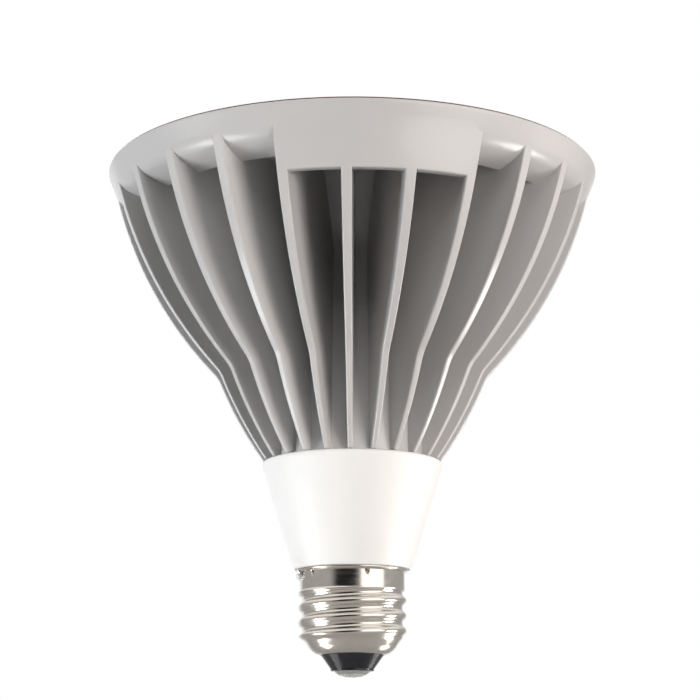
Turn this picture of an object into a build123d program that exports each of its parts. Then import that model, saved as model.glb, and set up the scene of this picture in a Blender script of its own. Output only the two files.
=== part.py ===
from build123d import *
import math
import os

# LED PAR38 spotlight lamp: finned casting, plastic neck and medium screw base.
# Millimetres. The axis is Z, the contact tip is at the origin and the front looks up.
# The bare panel of the casting looks along -Y.

# Clearances
fit_gap = 0.1
bore_gap = 0.15

# Contact and insulator
solder_radius = 3.4
solder_height = 0.7
solder_tip_radius = 1.2
solder_bend_radius = 2.6
solder_bend_height = 0.3
contact_radius = 4.5
contact_height = 0.8
stem_radius = 1.6
stem_length = 5.5
insulator_height = 3.8
insulator_lip_radius = 5.2
insulator_lip_height = 0.5
insulator_flange = 0.5
insulator_flange_height = 1.8

# Screw shell
shell_height = 20.3
shell_wall = 0.4
shell_mouth_radius = 7.7
shell_flat_radius = 8.4
shoulder_low_radius = 10.2
shoulder_low_height = 1.2
shoulder_high_radius = 11.1
shoulder_high_height = 2.7
shoulder_height = 3.9
thread_root_radius = 12.05
thread_rise = 1.05
thread_pitch = 3.629
thread_start_angle = -40.8
thread_end_gap = 0.1
ridge_width = 2.7
ridge_crest = 0.9
ridge_sink = 0.25
band_step = 0.6
band_length = 4.1
band_ramp = 0.4
bead_step = 0.85
bead_height = 0.85
bead_edge = 0.45

# Side solder and the hole under it
side_solder_angle = -82.0
side_solder_drop = 1.65
side_solder_width = 2.4
side_solder_length = 3.0
side_solder_thickness = 1.4
side_solder_chamfer = 0.5

# Neck
neck_height = 26.3
neck_bottom_radius = 14.05
neck_foot_radius = 15.5
neck_foot_height = 3.9
neck_top_radius = 22.3
neck_top_chamfer = 1.2
neck_ring = 2.2
neck_wall = 2.0
spigot_wall = 1.6
spigot_length = 15.8

# Casting: outline of fins and rim
fin_count = 24
fin_height = 67.0
fin_bottom_radius = 21.6
fin_bottom_thickness = 1.2
fin_top_thickness = 2.7
knee_radius = 33.1
knee_height = 20.9
knee_round = 5.0
lower_bulge = 0.7
upper_bulge = 3.5
fin_set_back = 0.15
fin_bite = 0.7
rim_flare = 1.9
flare_height = 4.4
rim_radius = 61.0
rim_lip_height = 0.5
rim_wall = 1.4

# Casting: core, dish and panel
core_radius = 19.8
core_wall = 2.3
spread_radius = 28.5
spread_height = 16.4
dish_floor = 2.0
lip_width = 8.1
lip_land = 0.6
lip_drop = 4.4
lip_bend_width = 3.5
lip_bend_drop = 2.95
panel_fins = 4
panel_height = 9.6
panel_wall = 2.2
light_floor = 5.0

# Front window, seal and reflector
lens_thickness = 2.0
seal_width = 0.7
seal_proud = 0.4
seal_edge_gap = 0.4
reflector_wall = 1.3
reflector_mouth_radius = 25.5
reflector_foot_radius = 8.0
flange_thickness = 1.5
cup_depth = 14.3

# Light source and its holder
cob_size = 19.0
cob_thickness = 1.5
phosphor_radius = 6.5
phosphor_height = 0.6
pad_thickness = 0.25
holder_radius = 17.0
holder_height = 4.0
funnel_margin = 2.4
funnel_gap = 0.4
screw_radius = 1.5
screw_head_radius = 2.7
screw_head_height = 1.8
screw_length = 6.0
screw_circle = 13.4

# Driver sleeve and board
sleeve_wall = 1.2
sleeve_flange = 1.6
guide_length = 2.6
guide_width = 1.2
board_thickness = 1.6
board_edge_gap = 0.67
board_overhang = 10.0
board_top_gap = 3.0
board_offset = -2.2
seat_step = 1.4

# Wires
wire_radius = 0.6
wire_hole_gap = 0.2
lamp_wire_reach = 11.4
lamp_wire_lap = 8.0
supply_wire_lap = 2.4

# Board components: size across, depth along the lamp axis, height off the board
core_width, core_depth, core_rise = 16.0, 14.0, 11.0
core_leg = 5.0
core_yoke = 3.0
winding_rise = 14.6
bulk_radius, bulk_rise = 5.0, 12.5
output_radius, output_rise = 4.0, 11.0
film_width, film_depth, film_rise = 12.0, 6.0, 10.0
choke_radius, choke_rise = 3.8, 9.0
fuse_radius, fuse_rise = 1.7, 8.0
bridge_width, bridge_depth, bridge_rise = 8.0, 6.4, 3.0
switch_width, switch_depth, switch_rise = 9.6, 8.8, 4.4
chip_width, chip_depth, chip_rise = 5.0, 4.0, 1.6

# Board components: places across the board, and along it as a share of its length
transformer_share = 0.65
capacitor_share = 0.305
bulk_x = 3.7
output_x = -6.1
input_share = 0.11
film_x = 2.5
choke_x = -8.6
fuse_x = 11.6
bridge_share = 0.31
switch_share = 0.6
chip_share = 0.85

# Levels along the axis
contact_z = solder_height
insulator_z = contact_z + contact_height
stem_z = insulator_z + stem_length
shell_z = insulator_z + insulator_height
neck_z = shell_z + shell_height
sink_z = neck_z + neck_height
flare_z = sink_z + fin_height
rim_lip_z = flare_z + flare_height
rim_z = rim_lip_z + rim_lip_height
lens_z = rim_z - lens_thickness
dish_z = lens_z - flange_thickness
dish_under_z = dish_z - dish_floor
spread_z = dish_under_z - spread_height
light_z = dish_z - cup_depth
bore_top_z = light_z - light_floor
holder_top_z = light_z + holder_height
cob_z = light_z + pad_thickness
cob_top_z = cob_z + cob_thickness
side_solder_z = neck_z - side_solder_drop
thread_z = shell_z + shoulder_height
band_top_z = neck_z - bead_height
band_z = band_top_z - band_length - band_ramp

# Radii that follow from the sizes above
bore_radius = core_radius - core_wall
flare_radius = rim_radius - rim_flare
lip_edge_radius = flare_radius - lip_width
lip_bend_radius = flare_radius - lip_bend_width
recess_radius = rim_radius - rim_wall
lens_radius = recess_radius - seal_width - fit_gap
band_radius = thread_root_radius + band_step
bead_radius = band_radius + bead_step
shell_bore_radius = thread_root_radius - shell_wall
spigot_radius = shell_bore_radius - bore_gap
seat_radius = neck_top_radius - neck_ring
sleeve_flange_radius = seat_radius - fit_gap
sleeve_radius = bore_radius - bore_gap
sleeve_inner_radius = sleeve_radius - sleeve_wall
funnel_radius = holder_radius + funnel_margin
wire_hole_radius = wire_radius + wire_hole_gap
board_face_y = board_offset + board_thickness / 2
board_back_y = board_offset - board_thickness / 2
board_width = 2 * (math.sqrt(sleeve_inner_radius**2 - board_back_y**2) - board_edge_gap)
lamp_wire_y = board_face_y + wire_radius
board_bottom_z = sink_z - board_overhang
sleeve_top_z = bore_top_z - bore_gap
board_top_z = sleeve_top_z - sleeve_wall - board_top_gap
board_length = board_top_z - board_bottom_z
transformer_z = board_bottom_z + transformer_share * board_length
capacitor_z = board_bottom_z + capacitor_share * board_length
input_z = board_bottom_z + input_share * board_length
bridge_z = board_bottom_z + bridge_share * board_length
switch_z = board_bottom_z + switch_share * board_length
chip_z = board_bottom_z + chip_share * board_length
through = 2 * rim_radius


def turned(*edges, arc=360):
    """Solid of revolution about Z; edges close an outline of (radius, height) points."""
    return revolve(Plane.XZ * make_face(edges), Axis.Z, arc)


def turned_points(*points):
    """Solid of revolution about Z with straight sides through the given points."""
    return turned(Polyline(*points, close=True))


def rod(radius, bottom, top, x=0.0, y=0.0):
    """Upright cylinder between two levels."""
    return Pos(x, y, bottom) * extrude(Circle(radius), top - bottom)


def on_board(sketch, rise, x, z, back=False):
    """Block standing on the board's face, or on its back, at x and level z."""
    y = board_back_y if back else board_face_y
    out = -1 if back else 1
    return Plane((x, y, z), x_dir=(1, 0, 0), z_dir=(0, out, 0)) * extrude(sketch, rise)


def toward(angle, radius, z):
    """Point at a radius, with the angle counted from -Y toward +X."""
    turn = math.radians(angle)
    return (radius * math.sin(turn), -radius * math.cos(turn), z)


# Casting

def make_sink_body():
    """Core, light floor, funnel, dish, lip and rim, turned as one form."""
    lip_z = flare_z - lip_drop
    lip_inner = lip_edge_radius - lip_land
    mouth = reflector_mouth_radius + reflector_wall + funnel_gap
    return turned_points(
        (bore_radius, sink_z), (core_radius, sink_z), (core_radius, spread_z),
        (spread_radius, dish_under_z), (lip_inner, dish_under_z), (lip_inner, lip_z),
        (lip_edge_radius, lip_z), (lip_bend_radius, flare_z - lip_bend_drop), (flare_radius, flare_z),
        (rim_radius, rim_lip_z), (rim_radius, rim_z), (recess_radius, rim_z), (recess_radius, dish_z),
        (mouth, dish_z), (funnel_radius, light_z), (0, light_z), (0, bore_top_z), (bore_radius, bore_top_z),
    )


def upper_fin_arc():
    """Outer edge of a fin from its knee to the rim."""
    knee = (knee_radius, sink_z + knee_height)
    return SagittaArc(knee, (flare_radius - fin_set_back, flare_z), -upper_bulge)


def make_fin():
    """One fin on +X: arcs with a soft knee outside, thinner toward the base, rooted in the walls."""
    foot = (fin_bottom_radius, sink_z)
    upper = upper_fin_arc()
    root = core_radius - fin_bite
    top_z = dish_under_z + fin_bite
    outline = make_face([
        Line((root, sink_z), foot),
        SagittaArc(foot, upper @ 0, -lower_bulge),
        upper,
        Polyline(
            upper @ 1, (flare_radius - fin_bite, top_z), (spread_radius - fin_bite, top_z),
            (root, spread_z), (root, sink_z),
        ),
    ])
    knee = outline.vertices().sort_by_distance(upper @ 0)[0]
    blank = extrude(Plane.XZ * fillet(knee, knee_round), fin_top_thickness, both=True)
    draft = (fin_top_thickness - fin_bottom_thickness) / fin_height
    rim_thickness = fin_bottom_thickness + draft * (rim_z - sink_z)
    low, high = fin_bottom_thickness / 2, rim_thickness / 2
    section = Polyline((-low, sink_z), (low, sink_z), (high, rim_z), (-high, rim_z), close=True)
    return blank & extrude(Plane.YZ * make_face(section), through)


def make_panel():
    """Closed band between neighbouring fins, a hair behind their edges."""
    bottom = flare_z - panel_height
    arc = upper_fin_arc()
    centre = arc.arc_center
    edge = centre.X + math.sqrt(arc.radius**2 - (bottom - centre.Y) ** 2)
    low = edge - fin_set_back
    high = flare_radius - 2 * fin_set_back
    span = 360 / fin_count * (panel_fins - 1)
    section = Polyline(
        (low - panel_wall, bottom), (low, bottom), (high, flare_z), (high - panel_wall, flare_z),
        close=True,
    )
    return Rot(0, 0, -90 - span / 2) * turned(section, arc=span)


def make_heat_sink():
    """One casting: turned body, ring of fins and panel, with holes for screws and wires."""
    fin = make_fin()
    step = 360 / fin_count
    fins = [Rot(0, 0, step * (k + 0.5)) * fin for k in range(fin_count)]
    sink = make_sink_body() + fins + make_panel()
    for side in (-1, 1):
        sink -= rod(wire_hole_radius, bore_top_z, light_z, side * lamp_wire_reach, lamp_wire_y)
        sink -= rod(screw_radius + fit_gap, bore_top_z, light_z, 0, side * screw_circle)
    return sink


# Screw base

def make_screw_shell():
    """Rolled shell with a thread, a plain band and a flared bead."""
    floor_z = shell_z + shell_wall
    outside = turned_points(
        (0, shell_z), (shell_flat_radius, shell_z),
        (shoulder_low_radius, shell_z + shoulder_low_height),
        (shoulder_high_radius, shell_z + shoulder_high_height),
        (thread_root_radius, thread_z), (thread_root_radius, band_z), (band_radius, band_z + band_ramp),
        (band_radius, band_top_z), (bead_radius, neck_z - bead_edge), (bead_radius, neck_z), (0, neck_z),
    )
    inside = turned_points(
        (0, floor_z), (shell_flat_radius, floor_z), (shell_bore_radius, thread_z),
        (shell_bore_radius, neck_z), (0, neck_z),
    )
    shell = outside + thread_ridge() - inside
    shell -= rod(shell_mouth_radius, shell_z, floor_z)
    return shell - side_hole()


def thread_ridge():
    """Ridge swept along the helix of the thread."""
    half = ridge_width / 2
    start = thread_z + half + thread_end_gap
    end = band_z - half - thread_end_gap
    path = Helix(thread_pitch, end - start, thread_root_radius, center=(0, 0, start))
    section = make_face(Polyline(
        (-ridge_sink, -half), (thread_rise, -ridge_crest / 2), (thread_rise, ridge_crest / 2),
        (-ridge_sink, half), close=True,
    ))
    plane = Plane(path @ 0, x_dir=(1, 0, 0), z_dir=path % 0)
    return Rot(0, 0, thread_start_angle) * sweep(plane * section, path, is_frenet=True)


def side_hole():
    """Radial hole for the wire under the side solder."""
    start = toward(side_solder_angle, 0, side_solder_z)
    out = toward(side_solder_angle, 1, 0)
    return Plane(start, z_dir=out) * extrude(Circle(wire_hole_radius), bead_radius)


def make_side_solder(shell, wire):
    """Lump on the band, over the end of the wire."""
    out = toward(side_solder_angle, 1, 0)
    base = Plane(toward(side_solder_angle, spigot_radius, side_solder_z), x_dir=(0, 0, 1), z_dir=out)
    reach = band_radius + side_solder_thickness - spigot_radius
    lump = base * extrude(SlotOverall(side_solder_length, side_solder_width), reach)
    top = lump.faces().sort_by(Axis(base.origin, out))[-1]
    lump = chamfer(top.edges(), side_solder_chamfer)
    filled = rod(band_radius, shell_z, neck_z)
    return lump - filled - shell - wire


def make_base_insulator():
    """Black cone with a flange behind the shell's mouth and a hole for the contact stem."""
    neck = shell_mouth_radius - fit_gap
    seat = shell_z + shell_wall
    bore = stem_radius + fit_gap
    top = seat + insulator_flange_height
    return turned_points(
        (bore, insulator_z), (insulator_lip_radius, insulator_z),
        (insulator_lip_radius, insulator_z + insulator_lip_height),
        (neck, shell_z), (neck, seat), (neck + insulator_flange, seat), (neck + insulator_flange, top),
        (bore, top),
    )


def make_centre_contact():
    """Conical contact cap with its stem."""
    return turned_points(
        (0, contact_z), (solder_radius, contact_z), (contact_radius, insulator_z),
        (stem_radius, insulator_z), (stem_radius, stem_z), (0, stem_z),
    )


def make_tip_solder():
    """Low solder dome on the contact."""
    return turned_points(
        (0, 0), (solder_tip_radius, 0), (solder_bend_radius, solder_bend_height),
        (solder_radius, contact_z), (0, contact_z),
    )


# Neck and driver housing

def make_neck_housing():
    """White neck: cone, spigot inside the shell and a seat for the sleeve's flange."""
    foot_z = neck_z + neck_foot_height
    outer = make_face(Polyline(
        (0, neck_z), (neck_bottom_radius, neck_z), (neck_foot_radius, foot_z),
        (neck_top_radius, sink_z), (0, sink_z), close=True,
    ))
    corner = outer.vertices().sort_by_distance((neck_top_radius, sink_z))[0]
    neck = revolve(Plane.XZ * chamfer(corner, neck_top_chamfer), Axis.Z)
    neck += rod(spigot_radius, neck_z - spigot_length, neck_z)
    spigot_bore = spigot_radius - spigot_wall
    seat_z = sink_z - sleeve_flange
    neck -= turned_points(
        (0, neck_z - spigot_length), (spigot_bore, neck_z - spigot_length), (spigot_bore, foot_z),
        (neck_foot_radius - neck_wall, foot_z + neck_wall), (seat_radius - seat_step, seat_z),
        (seat_radius, seat_z), (seat_radius, sink_z), (0, sink_z),
    )
    return neck - side_hole()


def make_driver_sleeve():
    """Insulating sleeve with a foot flange, a closed top and guides for the board."""
    flange_z = sink_z - sleeve_flange
    sleeve = rod(sleeve_radius, flange_z, sleeve_top_z)
    sleeve += rod(sleeve_flange_radius, flange_z, sink_z)
    sleeve -= rod(sleeve_inner_radius, flange_z, sleeve_top_z - sleeve_wall)
    guides_z = flange_z, sleeve_top_z - sleeve_wall
    rise = guides_z[1] - guides_z[0]
    slot = board_thickness / 2 + bore_gap
    inside = rod(sleeve_inner_radius + sleeve_wall / 2, *guides_z)
    for side in (-1, 1):
        x = side * (sleeve_inner_radius - guide_length / 2)
        for edge in (-1, 1):
            y = board_offset + edge * (slot + guide_width / 2)
            guide = Box(2 * guide_length, guide_width, rise)
            reach = Pos(x + side * guide_length / 2, y, guides_z[0] + rise / 2) * guide
            sleeve += reach & inside
        sleeve -= rod(wire_hole_radius, flange_z, sleeve_top_z, side * lamp_wire_reach, lamp_wire_y)
    return sleeve


# Front

def make_reflector():
    """Conical cup and flange in one thin wall."""
    edge = recess_radius - seal_width - fit_gap
    return turned_points(
        (reflector_foot_radius, holder_top_z), (reflector_mouth_radius, lens_z), (edge, lens_z),
        (edge, dish_z), (reflector_mouth_radius + reflector_wall, dish_z),
        (reflector_foot_radius + reflector_wall, holder_top_z),
    )


def make_front_lens():
    """Clear window."""
    return rod(lens_radius, lens_z, rim_z)


def make_lens_seal():
    """Dark ring between window and rim, with a thin lap on the rim's front."""
    outer = recess_radius - fit_gap / 2
    inner = outer - seal_width
    lap = rim_radius - seal_edge_gap
    front_z = rim_z + seal_proud
    return turned_points(
        (inner, dish_z), (outer, dish_z), (outer, rim_z), (lap, rim_z), (lap, front_z), (inner, front_z),
    )


# Light source

def square_block(size, bottom, top):
    """Square block on the axis between two levels."""
    return Pos(0, 0, bottom) * extrude(Rectangle(size, size), top - bottom)


def make_cob_holder():
    """Round clamp with a square pocket, a round opening and sunk screw heads."""
    holder = rod(holder_radius, light_z, holder_top_z)
    holder -= square_block(cob_size + 2 * bore_gap, light_z, cob_top_z)
    holder -= rod(reflector_foot_radius, cob_top_z, holder_top_z)
    for side in (-1, 1):
        holder -= rod(screw_radius + fit_gap, light_z, holder_top_z, 0, side * screw_circle)
        sunk = holder_top_z - screw_head_height
        holder -= rod(screw_head_radius + fit_gap, sunk, holder_top_z, 0, side * screw_circle)
    return holder


def make_holder_screws():
    """Two pan-head screws that clamp the holder to the casting."""
    seat = holder_top_z - screw_head_height
    screws = []
    for side in (-1, 1):
        head = rod(screw_head_radius, seat, holder_top_z, 0, side * screw_circle)
        screws.append(head + rod(screw_radius, seat - screw_length, seat, 0, side * screw_circle))
    return Compound(screws)


# Driver board and its components

def make_driver_board():
    """Board between the sleeve's guides."""
    middle_z = board_bottom_z + board_length / 2
    return Pos(0, board_offset, middle_z) * Box(board_width, board_thickness, board_length)


def make_transformer():
    """Core with two windows, and the winding round its middle leg."""
    window = (core_width - 2 * core_yoke - core_leg) / 2
    lift = (winding_rise - core_rise) / 2
    core = on_board(Rectangle(core_width, core_depth), core_rise, 0, transformer_z)
    turn_depth = core_depth - 2 * core_yoke
    hollow = Rectangle(core_leg + 2 * window, turn_depth) - Rectangle(core_leg, turn_depth)
    core -= on_board(hollow, core_rise, 0, transformer_z)
    turns = Rectangle(core_leg + 2 * window - 2 * fit_gap, turn_depth - 2 * fit_gap)
    leg = Rectangle(core_leg + 2 * fit_gap, core_depth)
    winding = on_board(turns, winding_rise, 0, transformer_z)
    winding -= Pos(0, lift - fit_gap, 0) * on_board(leg, core_rise + 2 * fit_gap, 0, transformer_z)
    return Pos(0, lift, 0) * core, winding


def make_line_lead():
    """Straight wire from the board down to the contact stem."""
    return rod(wire_radius, stem_z, board_bottom_z + supply_wire_lap, 0, lamp_wire_y)


def make_neutral_lead():
    """Wire from the board down and out through the side hole, in the plane of that hole."""
    start = -lamp_wire_y / math.cos(math.radians(side_solder_angle))
    end = band_radius + side_solder_thickness / 2
    path = Polyline(
        toward(side_solder_angle, start, board_bottom_z + supply_wire_lap),
        toward(side_solder_angle, start, side_solder_z),
        toward(side_solder_angle, end, side_solder_z),
    )
    section = Plane(path @ 0, z_dir=path % 0) * Circle(wire_radius)
    return sweep(section, path, transition=Transition.RIGHT)


def make_lamp_wire(side):
    """Straight wire from the board up to the holder's foot."""
    bottom = board_top_z - lamp_wire_lap
    return rod(wire_radius, bottom, light_z, side * lamp_wire_reach, lamp_wire_y)


shell = make_screw_shell()
transformer_core, transformer_winding = make_transformer()
neutral_lead = make_neutral_lead()

pieces = {
    "heat_sink": make_heat_sink(),
    "neck_housing": make_neck_housing(),
    "driver_sleeve": make_driver_sleeve(),
    "screw_shell": shell,
    "base_insulator": make_base_insulator(),
    "centre_contact": make_centre_contact(),
    "tip_solder": make_tip_solder(),
    "side_solder": make_side_solder(shell, neutral_lead),
    "front_lens": make_front_lens(),
    "lens_seal": make_lens_seal(),
    "reflector": make_reflector(),
    "cob_substrate": square_block(cob_size, cob_z, cob_top_z),
    "cob_phosphor": rod(phosphor_radius, cob_top_z, cob_top_z + phosphor_height),
    "cob_holder": make_cob_holder(),
    "holder_screws": make_holder_screws(),
    "thermal_pad": square_block(cob_size, light_z, cob_z),
    "driver_board": make_driver_board(),
    "transformer_core": transformer_core,
    "transformer_winding": transformer_winding,
    "bulk_capacitor": on_board(Circle(bulk_radius), bulk_rise, bulk_x, capacitor_z),
    "output_capacitor": on_board(Circle(output_radius), output_rise, output_x, capacitor_z),
    "film_capacitor": on_board(Rectangle(film_width, film_depth), film_rise, film_x, input_z),
    "input_choke": on_board(Circle(choke_radius), choke_rise, choke_x, input_z),
    "fuse_resistor": on_board(Circle(fuse_radius), fuse_rise, fuse_x, input_z),
    "bridge_rectifier": on_board(Rectangle(bridge_width, bridge_depth), bridge_rise, 0, bridge_z, True),
    "switch_transistor": on_board(Rectangle(switch_width, switch_depth), switch_rise, 0, switch_z, True),
    "controller_chip": on_board(Rectangle(chip_width, chip_depth), chip_rise, 0, chip_z, True),
    "line_lead": make_line_lead(),
    "neutral_lead": neutral_lead,
    "led_lead_plus": make_lamp_wire(1),
    "led_lead_minus": make_lamp_wire(-1),
}

os.makedirs("parts", exist_ok=True)
for name, shape in pieces.items():
    export_step(shape, f"parts/{name}.step")
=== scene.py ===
import math

import bmesh
import bpy
from mathutils import Matrix, Vector, noise


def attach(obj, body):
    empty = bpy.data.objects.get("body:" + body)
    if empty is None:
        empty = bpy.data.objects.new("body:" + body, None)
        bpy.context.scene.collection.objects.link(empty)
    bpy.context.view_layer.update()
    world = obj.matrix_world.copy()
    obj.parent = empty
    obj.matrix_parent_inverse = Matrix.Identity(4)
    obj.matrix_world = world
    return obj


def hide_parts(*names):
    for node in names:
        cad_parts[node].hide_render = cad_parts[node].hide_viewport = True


# LED spotlight lamp: cast finned body, white neck, nickel screw base.
# Lengths below are in millimetres and become metres on the way into a mesh.
# The lamp axis is Z, the contact tip is at the origin and the front looks up.

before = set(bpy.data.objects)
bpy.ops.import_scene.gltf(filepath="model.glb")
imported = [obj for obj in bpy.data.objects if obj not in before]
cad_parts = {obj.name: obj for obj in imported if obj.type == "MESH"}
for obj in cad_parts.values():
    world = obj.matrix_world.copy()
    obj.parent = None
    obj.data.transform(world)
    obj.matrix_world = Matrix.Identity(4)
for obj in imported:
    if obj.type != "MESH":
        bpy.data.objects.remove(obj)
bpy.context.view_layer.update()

MM = 0.001
FULL_TURN = 2 * math.pi

# Levels and radii of the casting, as in the solids but for a slightly fuller lip
SINK_Z, BORE_TOP_Z, FUNNEL_Z, LIGHT_Z = 51.9, 101.0, 101.9, 106.0
SKIRT_Z, DISH_UNDER_Z, FLARE_Z, DISH_Z = 114.5, 118.3, 118.9, 120.3
RIM_EDGE_Z, RIM_Z = 123.3, 123.8
BORE_RADIUS, CORE_RADIUS, FUNNEL_RADIUS = 17.5, 19.8, 28.5
WELL_FOOT_RADIUS, WELL_TOP_RADIUS = 19.4, 27.2
SKIRT_RADIUS, SKIRT_FLAT_RADIUS = 50.4, 51.0
RECESS_RADIUS, RIM_RADIUS = 59.6, 61.0
LIP_ROLL, LIP_CORNER = (55.6, 115.95), (58.65, 117.7)
RIM_SLOPE = (RIM_RADIUS - LIP_CORNER[0]) / (RIM_EDGE_Z - LIP_CORNER[1])

# Fins
FIN_COUNT = 24
FIN_FOOT, FIN_KNEE = (21.6, SINK_Z), (33.1, 72.8)
FIN_TIP, FIN_TUCK = (59.1, FLARE_Z), (59.0, 119.3)
LOWER_BULGE, UPPER_BULGE, KNEE_ROUND = 0.7, 3.5, 1.4
FIN_ROOT_DEPTH = 0.7
FIN_FOOT_HALF, FIN_TIP_HALF = 0.6, 1.35

# Panel between four fins, with its top and its ends run into the rim
PANEL_Z, PANEL_EASE_Z, PANEL_TOP_Z = 109.3, 114.0, 121.0
PANEL_WALL, PANEL_PROUD, PANEL_TUCK = 2.2, 0.02, 0.03
PANEL_TOP_SLOPE = RIM_SLOPE - 0.02
PANEL_BACK = [(59.85, 122.3), (59.68, 120.5), (58.8, 119.6), (57.2, 118.6)]
PANEL_END_Z, PANEL_END_SINK, PANEL_FADE = 118.5, 0.05, math.radians(3.0)

# Soft edges of the casting
SOFT_EDGE, SOFT_ANGLE, PANEL_SOFT_Z = 0.38, math.radians(40), 118.6

# Neck
NECK_Z, NECK_FOOT_Z = 25.6, 29.5
SPIGOT_Z, SPIGOT_BORE, SPIGOT_RADIUS = 9.8, 9.9, 11.5
COLLAR_RADIUS, NECK_FOOT_RADIUS, NECK_RADIUS = 14.05, 15.5, 22.3
SEAT_Z, SEAT_RADIUS = 50.3, 20.1
NECK_BORE_FOOT, NECK_BORE_RADIUS = (13.5, 31.5), 18.7

# Rolled shell
SHELL_Z, SHELL_FLOOR_Z = 5.3, 5.7
SHELL_HOLE, SHELL_FLAT, SHELL_BORE = 7.7, 8.4, 11.65
SHOULDER_LOW, SHOULDER_HIGH = (10.2, 6.5), (11.1, 8.0)
THREAD_FOOT_Z, THREAD_START_Z, THREAD_FULL_Z = 9.2, 8.6, 9.7
THREAD_ROOT, THREAD_CREST, THREAD_PITCH = 12.05, 13.1, 3.629
THREAD_PHASE_Z, THREAD_PHASE_ANGLE = 17.35, math.radians(263.8)
THREAD_SOFTNESS = 0.2
BAND_RADIUS, BAND_Z, BAND_TOP_Z, BAND_RUN = 12.65, 20.65, 24.75, 0.6
BEAD_RADIUS, BEAD_Z = 13.5, 25.15
STAKE_ANGLES, STAKE_LENGTH, STAKE_DEPTH = (9.3, -55.0, 130.0), 1.3, 0.6
STAKE_WIDTH, STAKE_POINT, STAKE_LEAN = 0.42, 0.08, 0.02
STAKE_FADE_START, STAKE_FADE_END = 0.7, 1.1

# Insulator and solder
INSULATOR_Z, INSULATOR_LIP_Z, INSULATOR_TOP_Z = 1.5, 2.0, 7.5
CONTACT_HOLE, INSULATOR_TIP, INSULATOR_RADIUS, INSULATOR_FLANGE = 1.7, 5.2, 7.6, 8.1
DOME_RADIUS, DOME_BASE_Z = 3.38, 0.7
SIDE_SOLDER_ANGLE, SIDE_SOLDER_Z, SIDE_SOLDER_RADIUS = math.radians(-82.0), 23.95, 12.75
SIDE_SOLDER_WIDTH, SIDE_SOLDER_HEIGHT, SIDE_SOLDER_LEAN = 1.2, 1.5, 0.5

# Window and seal
WINDOW_Z, WINDOW_RADIUS = 121.85, 58.8
SEAL_Z, SEAL_BORE, SEAL_RADIUS, SEAL_LAP_RADIUS = 124.2, 58.85, 59.55, 60.6

# Camera, floor and the point that the lamps look at
CAMERA_LENS, CAMERA_SENSOR = 97.12, 36.0
CAMERA_DISTANCE, CAMERA_Z = 456.8, -21.6
CAMERA_TURN, CAMERA_TILT, CAMERA_PAN = math.radians(-6.2), math.radians(12.55), math.radians(0.07)
FLOOR_Z, FLOOR_RADIUS, FLOOR_FADE_START, FLOOR_FADE_END = -60.0, 500.0, 100.0, 450.0
AIM_Z = 85.0


class Wire:
    """An output of a shader node that takes part in plain arithmetic."""

    def __init__(self, nodes, socket):
        self.nodes = nodes
        self.socket = socket

    def join(self, operation, first, second):
        return self.nodes.node("ShaderNodeMath", {"operation": operation}, {0: first, 1: second})

    def __add__(self, other):
        return self.join("ADD", self, other)

    def __radd__(self, other):
        return self.join("ADD", other, self)

    def __sub__(self, other):
        return self.join("SUBTRACT", self, other)

    def __rsub__(self, other):
        return self.join("SUBTRACT", other, self)

    def __mul__(self, other):
        return self.join("MULTIPLY", self, other)

    def __rmul__(self, other):
        return self.join("MULTIPLY", other, self)

    def over(self, other):
        """The larger of two values."""
        return self.join("MAXIMUM", self, other)


class Nodes:
    """A shader tree in which nodes are added by type, settings and inputs."""

    def __init__(self, tree):
        self.tree = tree

    def node(self, kind, settings=None, inputs=None, output=0):
        made = self.tree.nodes.new(kind)
        for key, value in (settings or {}).items():
            setattr(made, key, value)
        for key, value in (inputs or {}).items():
            self.plug(made.inputs[key], value)
        return Wire(self, made.outputs[output])

    def plug(self, socket, value):
        if isinstance(value, Wire):
            self.tree.links.new(value.socket, socket)
        else:
            socket.default_value = value

    def spread(self, value, low, high, start=0.3, end=0.7):
        """Value between start and end stretched to low and high, and held there."""
        return self.node(
            "ShaderNodeMapRange", {"clamp": True},
            {"Value": value, "From Min": start, "From Max": end, "To Min": low, "To Max": high},
        )

    def blend(self, factor, first, second):
        """Mix of two colours."""
        return self.node(
            "ShaderNodeMix", {"data_type": "RGBA"}, {0: factor, 6: first, 7: second}, output=2
        )


class Finish(Nodes):
    """A material: constants sit on its shader, and nodes are added by name."""

    def __init__(self, name, **constants):
        self.material = bpy.data.materials.new(name)
        self.material.use_nodes = True
        super().__init__(self.material.node_tree)
        self.shader = self.tree.nodes["Principled BSDF"]
        for socket, value in constants.items():
            label = socket.replace("_", " ").title().replace("Ior", "IOR")
            self.shader.inputs[label].default_value = value

    def feed(self, socket, value):
        self.plug(self.shader.inputs[socket], value)

    def place(self):
        return self.node("ShaderNodeTexCoord", output="Object")

    def grain(self, size, detail=3.0, scale=(1, 1, 1)):
        """Noise with lumps of a given size in millimetres."""
        spot = self.node(
            "ShaderNodeMapping", {"vector_type": "POINT"}, {"Vector": self.place(), "Scale": scale}
        )
        return self.node(
            "ShaderNodeTexNoise", {"noise_dimensions": "3D"},
            {"Vector": spot, "Scale": 1 / (size * MM), "Detail": detail, "Roughness": 0.55},
        )

    def relief(self, height, depth):
        """Bump of a given depth in millimetres, into the shader's normal."""
        bump = self.node(
            "ShaderNodeBump", None, {"Height": height, "Distance": depth * MM, "Strength": 1.0}
        )
        self.feed("Normal", bump)


def tint(r, g, b):
    """Opaque colour."""
    return (r, g, b, 1.0)


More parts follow.
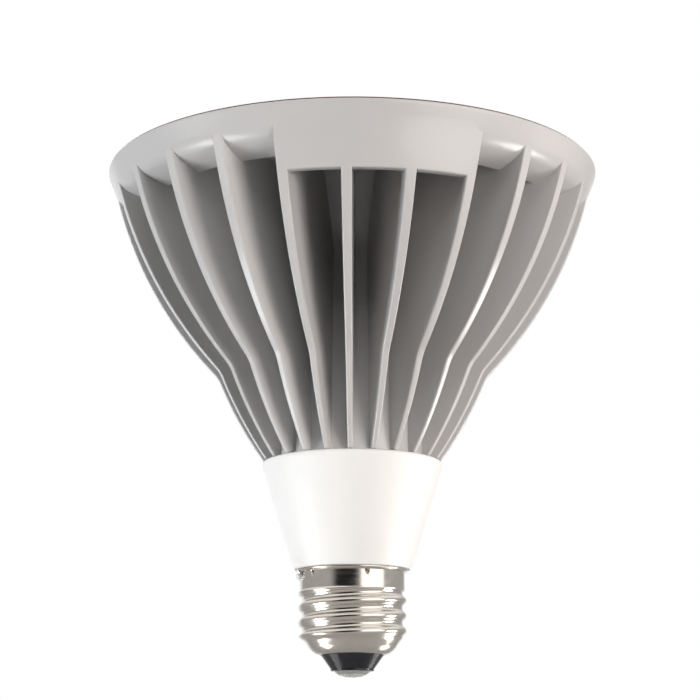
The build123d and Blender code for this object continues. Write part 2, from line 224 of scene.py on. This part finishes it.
def cast_paint():
    """Light grey semi-gloss paint over a cast surface."""
    finish = Finish("cast_paint", specular_ior_level=0.5, coat_roughness=0.17)
    cloud = finish.grain(9.0)
    speck = finish.grain(0.5, detail=2.0)
    tone = 0.6 * cloud + 0.4 * speck
    finish.feed("Base Color", finish.blend(tone, tint(0.5, 0.492, 0.487), tint(0.54, 0.532, 0.527)))
    finish.feed("Roughness", finish.spread(cloud, 0.3, 0.38))
    finish.feed("Coat Weight", finish.spread(cloud, 0.5, 0.7))
    finish.relief(finish.grain(0.35, detail=2.0), depth=0.008)
    return finish.material


def neck_plastic():
    """White satin moulding with a fine spark-eroded grain."""
    finish = Finish("neck_plastic", specular_ior_level=0.45)
    cloud = finish.grain(6.0)
    finish.feed("Base Color", finish.blend(cloud, tint(0.77, 0.765, 0.75), tint(0.81, 0.805, 0.79)))
    finish.feed("Roughness", finish.spread(cloud, 0.38, 0.5))
    finish.relief(finish.grain(0.22, detail=2.0), depth=0.01)
    return finish.material


def shell_nickel():
    """Bright nickel with fine rolling lines round the shell and a slight tarnish."""
    finish = Finish("shell_nickel", metallic=1.0)
    lines = finish.grain(1.0, detail=4.0, scale=(0.12, 0.12, 5.0))
    stain = finish.grain(2.6)
    finish.feed("Base Color", finish.blend(stain, tint(0.69, 0.64, 0.57), tint(0.82, 0.775, 0.71)))
    finish.feed("Roughness", finish.spread(lines, 0.1, 0.2) + finish.spread(stain, 0.0, 0.06))
    finish.relief(lines, depth=0.004)
    return finish.material


def insulator_black():
    """Glossy black glass compound."""
    finish = Finish("insulator_black", specular_ior_level=0.35)
    cloud = finish.grain(1.5)
    finish.feed("Base Color", finish.blend(cloud, tint(0.008, 0.008, 0.01), tint(0.022, 0.022, 0.026)))
    finish.feed("Roughness", finish.spread(cloud, 0.08, 0.22))
    finish.relief(finish.grain(0.9, detail=2.0), depth=0.05)
    return finish.material


def rough_solder():
    """Solder set in small ripples."""
    finish = Finish("rough_solder", metallic=0.65)
    lump = finish.grain(1.1, detail=4.0)
    finish.feed("Base Color", finish.blend(lump, tint(0.82, 0.82, 0.81), tint(0.94, 0.94, 0.93)))
    finish.feed("Roughness", finish.spread(lump, 0.2, 0.4))
    finish.relief(lump, depth=0.16)
    return finish.material


def tinned_contact():
    """Contact cap with a thin coat of tin over brass."""
    finish = Finish("tinned_contact", metallic=1.0)
    lump = finish.grain(1.3, detail=4.0)
    finish.feed("Base Color", finish.blend(lump, tint(0.6, 0.59, 0.56), tint(0.8, 0.8, 0.79)))
    finish.feed("Roughness", finish.spread(lump, 0.18, 0.36))
    finish.relief(lump, depth=0.12)
    return finish.material


def clear_window():
    """Clear pressed glass."""
    finish = Finish("clear_window", transmission_weight=1.0, ior=1.5)
    wave = finish.grain(14.0, detail=1.0)
    finish.feed("Base Color", finish.blend(wave, tint(0.96, 0.98, 0.975), tint(0.985, 0.99, 0.988)))
    finish.feed("Roughness", finish.spread(wave, 0.01, 0.03))
    finish.relief(wave, depth=0.02)
    return finish.material


def seal_rubber():
    """Dark bonded seal."""
    finish = Finish("seal_rubber")
    cloud = finish.grain(1.2)
    finish.feed("Base Color", finish.blend(cloud, tint(0.06, 0.026, 0.022), tint(0.1, 0.05, 0.044)))
    finish.feed("Roughness", finish.spread(cloud, 0.5, 0.7))
    finish.relief(finish.grain(0.3), depth=0.02)
    return finish.material


def bright_reflector():
    """Metallised moulding, pebbled to even out the beam."""
    finish = Finish("bright_reflector", metallic=1.0)
    pebble_size = 2.2
    pebble = finish.node(
        "ShaderNodeTexVoronoi", {"feature": "SMOOTH_F1"},
        {"Vector": finish.place(), "Scale": 1 / (pebble_size * MM)},
    )
    cloud = finish.grain(10.0)
    finish.feed("Base Color", finish.blend(cloud, tint(0.84, 0.845, 0.85), tint(0.9, 0.9, 0.9)))
    finish.feed("Roughness", finish.spread(cloud, 0.1, 0.16))
    finish.relief(pebble, depth=0.25)
    return finish.material


def moulded(name, dark, light, rough, grain_size=0.6, depth=0.015, metal=0.0):
    """Plain finish of an inner piece: two close tones, a rough range and a fine grain."""
    finish = Finish(name, metallic=metal)
    cloud = finish.grain(grain_size * 8)
    finish.feed("Base Color", finish.blend(cloud, tint(*dark), tint(*light)))
    finish.feed("Roughness", finish.spread(cloud, rough, rough + 0.12))
    finish.relief(finish.grain(grain_size, detail=2.0), depth)
    return finish.material


def round_corner(shape, vert, size):
    """Rounds one corner of a wire."""
    bmesh.ops.bevel(
        shape, geom=[vert], offset=size * MM, offset_type="OFFSET", segments=6, profile=0.5,
        affect="VERTICES", material=-1,
    )


def outline(corners):
    """Closed wire in the XZ plane. A corner is a radius, a height and, where it is soft, its rounding."""
    shape = bmesh.new()
    verts = [shape.verts.new((corner[0] * MM, 0, corner[1] * MM)) for corner in corners]
    for first, second in zip(verts, verts[1:] + verts[:1]):
        shape.edges.new((first, second))
    for vert, corner in zip(verts, corners):
        if len(corner) == 3:
            round_corner(shape, vert, corner[2])
    return shape


def spun(shape, steps=160, angle=FULL_TURN):
    """Wire or face turned round the lamp axis."""
    bmesh.ops.spin(
        shape, geom=shape.verts[:] + shape.edges[:] + shape.faces[:], cent=(0, 0, 0), axis=(0, 0, 1),
        angle=angle, steps=steps, use_merge=angle == FULL_TURN,
    )
    return shape


def settle(shape):
    """Merged corners and outward faces."""
    bmesh.ops.remove_doubles(shape, verts=shape.verts, dist=0.0005 * MM)
    bmesh.ops.recalc_face_normals(shape, faces=shape.faces)
    return shape


def add_piece(name, shape, finish, node, crease=35.0):
    """Shown object from a bmesh, in place of a solid."""
    mesh = bpy.data.meshes.new(name)
    shape.to_mesh(mesh)
    shape.free()
    mesh.shade_smooth()
    mesh.set_sharp_from_angle(angle=math.radians(crease))
    piece = bpy.data.objects.new(name, mesh)
    bpy.context.scene.collection.objects.link(piece)
    mesh.materials.append(finish)
    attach(piece, "root")
    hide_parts(node)
    return piece


def blend_into(shape, other):
    """Adds a finished bmesh to another."""
    mesh = bpy.data.meshes.new("part")
    other.to_mesh(mesh)
    other.free()
    shape.from_mesh(mesh)
    bpy.data.meshes.remove(mesh)


def ramp(value, low, high):
    """Smooth step from 0 to 1."""
    part = min(1.0, max(0.0, (value - low) / (high - low)))
    return part * part * (3 - 2 * part)


def sink_body():
    """Core, funnel, dish, rolled lip and rim."""
    shape = outline(
        [
            (BORE_RADIUS, SINK_Z), (CORE_RADIUS, SINK_Z), (CORE_RADIUS, FUNNEL_Z, 4.0),
            (FUNNEL_RADIUS, DISH_UNDER_Z, 3.0), (SKIRT_RADIUS, DISH_UNDER_Z), (SKIRT_RADIUS, SKIRT_Z),
            (SKIRT_FLAT_RADIUS, SKIRT_Z), (*LIP_ROLL, 1.5), (*LIP_CORNER, 1.9),
            (RIM_RADIUS, RIM_EDGE_Z, 0.3), (RIM_RADIUS, RIM_Z, 0.15), (RECESS_RADIUS, RIM_Z, 0.1),
            (RECESS_RADIUS, DISH_Z), (WELL_TOP_RADIUS, DISH_Z), (WELL_FOOT_RADIUS, LIGHT_Z),
            (0.0, LIGHT_Z), (0.0, BORE_TOP_Z), (BORE_RADIUS, BORE_TOP_Z),
        ]
    )
    return settle(spun(shape, steps=288))


def bulged_arc(start, end, bulge):
    """Centre, radius and sweep of the arc from one point down to another, bulged outward."""
    start, end = Vector(start), Vector(end)
    chord = start - end
    half = chord.length / 2
    radius = (half * half + bulge * bulge) / (2 * bulge)
    inward = Vector((-chord.y, chord.x)).normalized()
    return (start + end) / 2 + inward * (radius - bulge), radius, 2 * math.asin(half / radius)


def bend(shape, vert, start, end, bulge, steps):
    """Draws such an arc from a corner and returns the corner at its end."""
    centre, _, swept = bulged_arc(start, end, bulge)
    made = bmesh.ops.spin(
        shape, geom=[vert], cent=Vector((centre.x, 0, centre.y)) * MM, axis=(0, 1, 0), angle=swept,
        steps=steps,
    )
    return next(item for item in made["geom_last"] if isinstance(item, bmesh.types.BMVert))


def fin_half_width(z):
    """Half the drafted thickness of a fin."""
    return FIN_FOOT_HALF + (FIN_TIP_HALF - FIN_FOOT_HALF) * (z - SINK_Z) / (FLARE_Z - SINK_Z)


def fin_blank():
    """One fin on +X, with the arcs and soft knee of its outer edge, its root and tip run into the body."""
    root = CORE_RADIUS - FIN_ROOT_DEPTH
    under_dish = (FUNNEL_RADIUS - FIN_ROOT_DEPTH, DISH_UNDER_Z + FIN_ROOT_DEPTH)
    shape = bmesh.new()
    corners = [
        shape.verts.new((r * MM, 0, z * MM))
        for r, z in (FIN_FOOT, (root, SINK_Z), (root, FUNNEL_Z), under_dish, FIN_TUCK, FIN_TIP)
    ]
    for first, second in zip(corners, corners[1:]):
        shape.edges.new((first, second))
    knee = bend(shape, corners[-1], FIN_TIP, FIN_KNEE, UPPER_BULGE, steps=28)
    bend(shape, knee, FIN_KNEE, FIN_FOOT, LOWER_BULGE, steps=10)
    bmesh.ops.remove_doubles(shape, verts=shape.verts, dist=0.0005 * MM)
    bmesh.ops.bevel(
        shape, geom=[knee], offset=KNEE_ROUND * MM, offset_type="OFFSET", segments=5, profile=0.5,
        affect="VERTICES", material=-1,
    )
    bmesh.ops.contextual_create(shape, geom=shape.edges[:])
    return shape


def fin():
    """The blank drawn out to its drafted thickness."""
    shape = fin_blank()
    made = bmesh.ops.extrude_face_region(shape, geom=shape.faces[:])
    moved = [item for item in made["geom"] if isinstance(item, bmesh.types.BMVert)]
    bmesh.ops.translate(shape, verts=moved, vec=(0, MM, 0))
    for vert in shape.verts:
        half = fin_half_width(vert.co.z / MM) * MM
        vert.co.y = half if vert.co.y > 0.5 * MM else -half
    bmesh.ops.recalc_face_normals(shape, faces=shape.faces)
    return shape


def cone_radius(z):
    """Radius of the rim's cone."""
    return LIP_CORNER[0] + RIM_SLOPE * (z - LIP_CORNER[1])


def fin_edge(z):
    """Radius and slope of the fins' outer edge between knee and rim."""
    centre, radius, _ = bulged_arc(FIN_TIP, FIN_KNEE, UPPER_BULGE)
    reach = math.sqrt(radius**2 - (z - centre.y) ** 2)
    return centre.x + reach, (centre.y - z) / reach


def panel_front(z):
    """Radius of the panel: on the fins' edge below, then easing into the rim's cone and just under it."""
    low, low_slope = fin_edge(PANEL_EASE_Z)
    high = cone_radius(PANEL_TOP_Z) - PANEL_TUCK
    length = PANEL_TOP_Z - PANEL_EASE_Z
    part = (z - PANEL_EASE_Z) / length
    if part <= 0:
        return fin_edge(z)[0]
    if part > 1:
        return high + PANEL_TOP_SLOPE * (z - PANEL_TOP_Z)
    eased = low + (high - low) * part * part * (3 - 2 * part)
    return eased + length * part * (1 - part) * (low_slope * (1 - part) - PANEL_TOP_SLOPE * part)


def panel():
    """Bare band that closes the gaps between four fins and eases into the rim, also toward its ends."""
    rows, rows_above = 14, 2
    step = (PANEL_TOP_Z - PANEL_Z) / rows
    levels = [PANEL_Z + step * k for k in range(rows + rows_above + 1)]
    front = [(panel_front(z) + PANEL_PROUD, z) for z in levels]
    foot_radius = front[0][0]
    shape = outline(front + PANEL_BACK + [(foot_radius - PANEL_WALL, PANEL_Z)])
    bmesh.ops.contextual_create(shape, geom=shape.edges[:])
    span = 3 * FULL_TURN / FIN_COUNT + 2 * fin_half_width(PANEL_Z) / foot_radius
    start = Matrix.Rotation(-math.pi / 2 - span / 2, 3, "Z")
    bmesh.ops.rotate(shape, verts=shape.verts, cent=(0, 0, 0), matrix=start)
    spun(shape, steps=72, angle=span)
    for vert in shape.verts:
        from_end = span / 2 - abs(math.atan2(vert.co.x, -vert.co.y))
        z = vert.co.z / MM
        if z > PANEL_END_Z:
            sunk = min(1.0, (cone_radius(z) - PANEL_END_SINK) * MM / vert.co.xy.length)
            vert.co.xy *= sunk + (1 - sunk) * ramp(from_end, 0.0, PANEL_FADE)
    return settle(shape)


def mark_soft_edges(shape, panel_start):
    """Marks the edges to be rounded: all sharp ones but those of the panel's thin ends inside the rim."""
    shape.edges.ensure_lookup_table()
    softness = shape.edges.layers.float.new("bevel_weight_edge")
    for k, edge in enumerate(shape.edges):
        top = max(vert.co.z for vert in edge.verts)
        in_rim = k >= panel_start and top > PANEL_SOFT_Z * MM
        if not in_rim and edge.calc_face_angle(0.0) > SOFT_ANGLE:
            edge[softness] = 1.0


def heat_sink(finish):
    """The painted casting: body, fins and panel with soft edges."""
    shape = sink_body()
    pattern = fin()
    for k in range(FIN_COUNT):
        turned = pattern.copy()
        turn = Matrix.Rotation(FULL_TURN * (k + 0.5) / FIN_COUNT, 3, "Z")
        bmesh.ops.rotate(turned, verts=turned.verts, cent=(0, 0, 0), matrix=turn)
        blend_into(shape, turned)
    pattern.free()
    panel_start = len(shape.edges)
    blend_into(shape, panel())
    mark_soft_edges(shape, panel_start)
    piece = add_piece("heat_sink_casting", shape, finish, "heat_sink", crease=25.0)
    soft = piece.modifiers.new("soft_edges", "BEVEL")
    soft.width = SOFT_EDGE * MM
    soft.segments = 3
    soft.limit_method = "WEIGHT"
    soft.use_clamp_overlap = False
    soft.harden_normals = True


def neck(finish):
    """Conical neck with rounded edges and the spigot that carries the shell."""
    shape = outline(
        [
            (SPIGOT_BORE, SPIGOT_Z), (SPIGOT_RADIUS, SPIGOT_Z), (SPIGOT_RADIUS, NECK_Z),
            (COLLAR_RADIUS, NECK_Z, 0.25), (NECK_FOOT_RADIUS, NECK_FOOT_Z, 1.5), (NECK_RADIUS, SINK_Z, 1.5),
            (SEAT_RADIUS, SINK_Z, 0.3), (SEAT_RADIUS, SEAT_Z), (NECK_BORE_RADIUS, SEAT_Z), NECK_BORE_FOOT,
            (SPIGOT_BORE, NECK_FOOT_Z),
        ]
    )
    add_piece("neck_moulding", settle(spun(shape)), finish, "neck_housing")


def rolled_radius(z, angle, plain):
    """Radius of the shell with its thread, which runs out into the shoulder below and the band above."""
    turn = (z - THREAD_PHASE_Z) / THREAD_PITCH - (angle - THREAD_PHASE_ANGLE) / FULL_TURN
    wave = ramp(0.5 + 0.5 * math.cos(FULL_TURN * turn), -THREAD_SOFTNESS, 1 + THREAD_SOFTNESS)
    thread = THREAD_ROOT + (THREAD_CREST - THREAD_ROOT) * wave
    low = plain + (thread - plain) * ramp(z, THREAD_START_Z, THREAD_FULL_Z)
    return low + (BAND_RADIUS - low) * ramp(z, BAND_Z - BAND_RUN, BAND_Z)


def stake_dent(angle, z):
    """Depth of the wedge-shaped punch marks under the bead."""
    drop = (BAND_TOP_Z - z) / STAKE_LENGTH
    width = max(STAKE_POINT, STAKE_WIDTH + (STAKE_POINT - STAKE_WIDTH) * drop)
    fade = 1 - ramp(drop, STAKE_FADE_START, STAKE_FADE_END)
    depth = 0.0
    for stake in STAKE_ANGLES:
        centre = math.radians(stake) - math.pi / 2 + STAKE_LEAN * drop
        across = math.remainder(angle - centre, FULL_TURN) * BAND_RADIUS
        depth += STAKE_DEPTH * math.exp(-((across / width) ** 2)) * fade
    return depth


def screw_shell(finish):
    """Rolled shell: rounded thread, plain band with punch marks and a thin bead."""
    rows = 100
    step = (BAND_TOP_Z - THREAD_FOOT_Z) / rows
    shoulder = [
        (SHELL_HOLE, SHELL_Z), (SHELL_FLAT, SHELL_Z, 0.9), (*SHOULDER_LOW, 1.0), (*SHOULDER_HIGH, 0.7),
    ]
    wall = [(THREAD_ROOT, THREAD_FOOT_Z + step * k) for k in range(rows)]
    bead = [(BAND_RADIUS, BAND_TOP_Z), (BEAD_RADIUS, BEAD_Z, 0.2), (BEAD_RADIUS, NECK_Z, 0.15)]
    inside = [
        (SHELL_BORE, NECK_Z), (SHELL_BORE, THREAD_FOOT_Z), (SHELL_FLAT, SHELL_FLOOR_Z),
        (SHELL_HOLE, SHELL_FLOOR_Z),
    ]
    shape = settle(spun(outline(shoulder + wall + bead + inside), steps=384))
    for vert in shape.verts:
        z = vert.co.z / MM
        radius = vert.co.xy.length / MM
        in_bore = radius < SHELL_BORE + 0.05
        on_bead = z > BAND_TOP_Z - 0.02
        if not in_bore and not on_bead:
            angle = math.atan2(vert.co.y, vert.co.x)
            vert.co.xy *= (rolled_radius(z, angle, radius) - stake_dent(angle, z)) / radius
    add_piece("screw_shell_rolled", shape, finish, "screw_shell", crease=50.0)


def base_insulator(finish):
    """Black cone with a small rolled lip."""
    shape = outline(
        [
            (CONTACT_HOLE, INSULATOR_Z), (INSULATOR_TIP, INSULATOR_Z, 0.15),
            (INSULATOR_TIP, INSULATOR_LIP_Z, 0.12), (INSULATOR_RADIUS, SHELL_Z),
            (INSULATOR_RADIUS, SHELL_FLOOR_Z), (INSULATOR_FLANGE, SHELL_FLOOR_Z),
            (INSULATOR_FLANGE, INSULATOR_TOP_Z), (CONTACT_HOLE, INSULATOR_TOP_Z),
        ]
    )
    settle(spun(shape, steps=128))
    add_piece("insulator_cone", shape, finish, "base_insulator")


def lumpy(shape, size, depth):
    """Uneven surface: each corner moves along its normal by noise."""
    shape.normal_update()
    for vert in shape.verts:
        vert.co += vert.normal * noise.noise(vert.co / (size * MM)) * depth * MM


def tip_solder(finish):
    """Uneven solder dome on the contact."""
    shape = outline(
        [(0.0, DOME_BASE_Z), (0.0, 0.08), (1.2, 0.1, 0.5), (2.6, 0.36, 0.5), (DOME_RADIUS, DOME_BASE_Z)]
    )
    settle(spun(shape, steps=96))
    bmesh.ops.subdivide_edges(shape, edges=shape.edges[:], cuts=1, use_grid_fill=True)
    lumpy(shape, size=1.0, depth=0.12)
    for vert in shape.verts:
        vert.co.z = max(0.0, min(vert.co.z, (DOME_BASE_Z + 0.02) * MM))
    add_piece("tip_solder_dome", shape, finish, "tip_solder")


def side_solder(finish):
    """Solder lump over the end of the wire on the band."""
    shape = bmesh.new()
    bmesh.ops.create_icosphere(shape, subdivisions=5, radius=MM)
    lumpy(shape, size=0.6, depth=0.3)
    out = Vector((math.sin(SIDE_SOLDER_ANGLE), -math.cos(SIDE_SOLDER_ANGLE), 0))
    along = Vector((-out.y, out.x, 0)) * SIDE_SOLDER_WIDTH
    upright = Vector((0, 0, SIDE_SOLDER_HEIGHT)) + out * SIDE_SOLDER_LEAN
    stretch = Matrix((along, upright, out)).transposed()
    bmesh.ops.transform(shape, matrix=stretch.to_4x4(), verts=shape.verts)
    centre = (out * SIDE_SOLDER_RADIUS + Vector((0, 0, SIDE_SOLDER_Z))) * MM
    bmesh.ops.translate(shape, vec=centre, verts=shape.verts)
    for vert in shape.verts:
        vert.co.z = min(vert.co.z, (NECK_Z - 0.05) * MM)
    bmesh.ops.recalc_face_normals(shape, faces=shape.faces)
    add_piece("side_solder_lump", shape, finish, "side_solder")


def front_window(finish):
    """Flat window with softened edges, a hair above the flange that it lies on."""
    shape = outline(
        [(0.0, WINDOW_Z), (WINDOW_RADIUS, WINDOW_Z, 0.2), (WINDOW_RADIUS, RIM_Z, 0.3), (0.0, RIM_Z)]
    )
    add_piece("front_window", settle(spun(shape, steps=256)), finish, "front_lens")


def seal_ring(finish):
    """Dark ring with a thin lap on the rim's front."""
    shape = outline(
        [
            (SEAL_BORE, DISH_Z), (SEAL_RADIUS, DISH_Z), (SEAL_RADIUS, RIM_Z), (SEAL_LAP_RADIUS, RIM_Z),
            (SEAL_LAP_RADIUS, SEAL_Z, 0.12), (SEAL_BORE, SEAL_Z, 0.2),
        ]
    )
    add_piece("window_seal", settle(spun(shape, steps=256)), finish, "lens_seal")


def dress_node(name, finish):
    """Gives a solid that stays its finish."""
    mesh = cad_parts[name].data
    mesh.materials.clear()
    mesh.materials.append(finish)


def dress_light_source():
    """Finishes of the reflector, the light source and its clamp, and of the contact."""
    dress_node("reflector", bright_reflector())
    dress_node("centre_contact", tinned_contact())
    dress_node("cob_substrate", moulded("substrate_coat", (0.76, 0.76, 0.74), (0.83, 0.83, 0.81), 0.35))
    gel = moulded("phosphor_gel", (0.80, 0.52, 0.06), (0.88, 0.62, 0.1), 0.3, grain_size=0.2, depth=0.02)
    dress_node("cob_phosphor", gel)
    dress_node("cob_holder", moulded("holder_plastic", (0.78, 0.78, 0.76), (0.84, 0.84, 0.82), 0.4))
    dress_node("holder_screws", moulded("screw_zinc", (0.5, 0.5, 0.5), (0.66, 0.66, 0.65), 0.25, metal=1.0))
    dress_node("thermal_pad", moulded("pad_silicone", (0.32, 0.33, 0.35), (0.38, 0.39, 0.41), 0.7))


def dress_driver():
    """Finishes of the sleeve, the board and the parts on it."""
    dress_node("driver_sleeve", moulded("sleeve_plastic", (0.7, 0.7, 0.68), (0.77, 0.77, 0.75), 0.45))
    dress_node("driver_board", moulded("board_mask", (0.02, 0.12, 0.04), (0.04, 0.18, 0.07), 0.35))
    ferrite = moulded("ferrite", (0.04, 0.04, 0.042), (0.08, 0.08, 0.082), 0.6, grain_size=0.3, depth=0.03)
    for node in ("transformer_core", "input_choke"):
        dress_node(node, ferrite)
    dress_node("transformer_winding", moulded("winding_tape", (0.6, 0.4, 0.03), (0.72, 0.5, 0.06), 0.4))
    can = moulded("capacitor_film", (0.02, 0.022, 0.035), (0.035, 0.037, 0.05), 0.25)
    for node in ("bulk_capacitor", "output_capacitor"):
        dress_node(node, can)
    dress_node("film_capacitor", moulded("film_case", (0.4, 0.28, 0.04), (0.48, 0.34, 0.06), 0.3))
    dress_node("fuse_resistor", moulded("fuse_lacquer", (0.1, 0.18, 0.14), (0.14, 0.23, 0.18), 0.45))
    chip = moulded("chip_mould", (0.02, 0.02, 0.022), (0.04, 0.04, 0.042), 0.5)
    for node in ("bridge_rectifier", "switch_transistor", "controller_chip"):
        dress_node(node, chip)


def dress_wires():
    """Finishes of the four inner wires."""
    black = moulded("wire_black", (0.015, 0.015, 0.016), (0.03, 0.03, 0.03), 0.4)
    for node in ("line_lead", "led_lead_minus"):
        dress_node(node, black)
    dress_node("neutral_lead", moulded("wire_white", (0.7, 0.7, 0.68), (0.78, 0.78, 0.76), 0.4))
    dress_node("led_lead_plus", moulded("wire_red", (0.4, 0.02, 0.015), (0.5, 0.035, 0.025), 0.4))


def make_camera():
    """Camera below the rim, as the photo was taken: in front, a little to the left, looking up."""
    data = bpy.data.cameras.new("camera")
    data.lens = CAMERA_LENS
    data.sensor_width = CAMERA_SENSOR
    data.clip_start = 0.01
    camera = bpy.data.objects.new("camera", data)
    bpy.context.scene.collection.objects.link(camera)
    toward = Vector((math.sin(CAMERA_TURN), -math.cos(CAMERA_TURN), 0))
    camera.location = (toward * CAMERA_DISTANCE + Vector((0, 0, CAMERA_Z))) * MM
    camera.rotation_euler = (math.pi / 2 + CAMERA_TILT, 0, CAMERA_TURN + CAMERA_PAN)
    bpy.context.scene.camera = camera


def floor_paper():
    """Pale paper that fades out into the white background, and is open to a look from below."""
    finish = Finish("floor_paper", roughness=0.9, emission_strength=1.0)
    cloud = finish.grain(8.0)
    finish.feed("Base Color", finish.blend(cloud, tint(0.8, 0.8, 0.8), tint(0.83, 0.83, 0.83)))
    seen = finish.node("ShaderNodeLightPath", output="Is Camera Ray")
    below = finish.node("ShaderNodeNewGeometry", output="Backfacing")
    away = finish.node("ShaderNodeVectorMath", {"operation": "LENGTH"}, {0: finish.place()}, "Value")
    kept = finish.spread(away, 1.0, 0.0, start=FLOOR_FADE_START * MM, end=FLOOR_FADE_END * MM)
    finish.feed("Emission Color", finish.blend(seen, tint(0, 0, 0), tint(0.4, 0.4, 0.4)))
    finish.feed("Alpha", kept * (1.0 - seen * below))
    return finish.material


def make_floor():
    """Round pale floor under the lamp, lower than the camera."""
    shape = bmesh.new()
    bmesh.ops.create_circle(shape, cap_ends=True, segments=96, radius=FLOOR_RADIUS * MM)
    bmesh.ops.translate(shape, verts=shape.verts, vec=(0, 0, FLOOR_Z * MM))
    mesh = bpy.data.meshes.new("floor")
    shape.to_mesh(mesh)
    shape.free()
    floor = bpy.data.objects.new("floor", mesh)
    bpy.context.scene.collection.objects.link(floor)
    mesh.materials.append(floor_paper())


def make_world():
    """White to the camera; in reflections a studio with pale walls, white back, dark front and a window."""
    world = bpy.data.worlds.new("studio")
    bpy.context.scene.world = world
    world.use_nodes = True
    sky = Nodes(world.node_tree)
    way = sky.node("ShaderNodeTexCoord", output="Generated")

    def along(direction):
        return sky.node("ShaderNodeVectorMath", {"operation": "DOT_PRODUCT"}, {0: way, 1: direction}, "Value")

    walls = sky.spread(along((0, 0, 1)), 0.42, 1.0, start=0.25, end=0.6)
    back = sky.spread(along((0, 1, 0)), 0.0, 1.0, start=0.75, end=0.92)
    front = sky.spread(along((-0.342, -0.94, 0)), 1.0, 0.04, start=0.82, end=0.94)
    window = sky.spread(along((0.636, -0.772, 0)), 0.0, 1.6, start=0.875, end=0.891)
    level = (walls.over(back) * front).over(window)
    seen = sky.node("ShaderNodeLightPath", output="Is Camera Ray")
    shiny = sky.node("ShaderNodeLightPath", output="Is Glossy Ray")
    through = sky.node("ShaderNodeLightPath", output="Is Transmission Ray")
    share = sky.spread(shiny.over(through), 0.05, 1.0, start=0.0, end=1.0)
    sky.plug(sky.tree.nodes["Background"].inputs["Strength"], seen.over(level * share))
    sky.plug(sky.tree.nodes["Background"].inputs["Color"], tint(1, 1, 1))


def add_lamp(name, place, power, size, color, shines=True, lights=True):
    """Soft box that looks at the lamp's body; it can stay out of reflections, or be in them only."""
    data = bpy.data.lights.new(name, "AREA")
    data.energy = power
    data.shape = "RECTANGLE"
    data.size, data.size_y = size
    data.color = color
    lamp = bpy.data.objects.new(name, data)
    bpy.context.scene.collection.objects.link(lamp)
    lamp.location = place
    aim = Vector((0, 0, AIM_Z * MM)) - Vector(place)
    lamp.rotation_euler = aim.to_track_quat("-Z", "Y").to_euler()
    lamp.visible_camera = False
    lamp.visible_glossy = shines
    lamp.visible_diffuse = lights


def make_lights():
    """Warm key from the right front, soft side lights, and small low cards that glint under the rim."""
    warm, plain, cool = (1.0, 0.94, 0.9), (1.0, 0.99, 0.98), (0.97, 0.985, 1.0)
    wide, small, card = (0.35, 0.3), (0.05, 0.05), (0.027, 0.027)
    add_lamp("key", (0.48, -0.7, 0.03), 6.0, (0.45, 0.4), warm, shines=False)
    add_lamp("right", (0.8, 0.07, 0.02), 3.3, wide, warm, shines=False)
    add_lamp("left", (-0.79, -0.15, 0.02), 5.4, wide, cool, shines=False)
    add_lamp("upper_front", (-0.05, -0.61, 0.6), 1.6, wide, plain, shines=False)
    add_lamp("top", (0.0, 0.0, 0.95), 0.8, (0.5, 0.5), plain)
    add_lamp("low_left", (-0.15, 0.01, -0.035), 0.06, small, cool, shines=False)
    add_lamp("low_right", (0.155, -0.02, -0.035), 0.02, small, plain, shines=False)
    add_lamp("glint_left", (-0.158, -0.029, -0.035), 0.1, (0.075, 0.075), cool, lights=False)
    add_lamp("glint_right", (0.206, -0.015, -0.035), 0.17, (0.085, 0.075), plain, lights=False)
    add_lamp("card_left", (-0.049, 0.007, -0.042), 0.006, card, plain, lights=False)
    add_lamp("card_right", (0.059, 0.025, -0.042), 0.006, card, plain, lights=False)


make_camera()
make_floor()
make_world()
make_lights()

solder = rough_solder()
heat_sink(cast_paint())
neck(neck_plastic())
screw_shell(shell_nickel())
base_insulator(insulator_black())
tip_solder(solder)
side_solder(solder)
front_window(clear_window())
seal_ring(seal_rubber())
dress_light_source()
dress_driver()
dress_wires()

bpy.context.scene.view_settings.view_transform = "Standard"
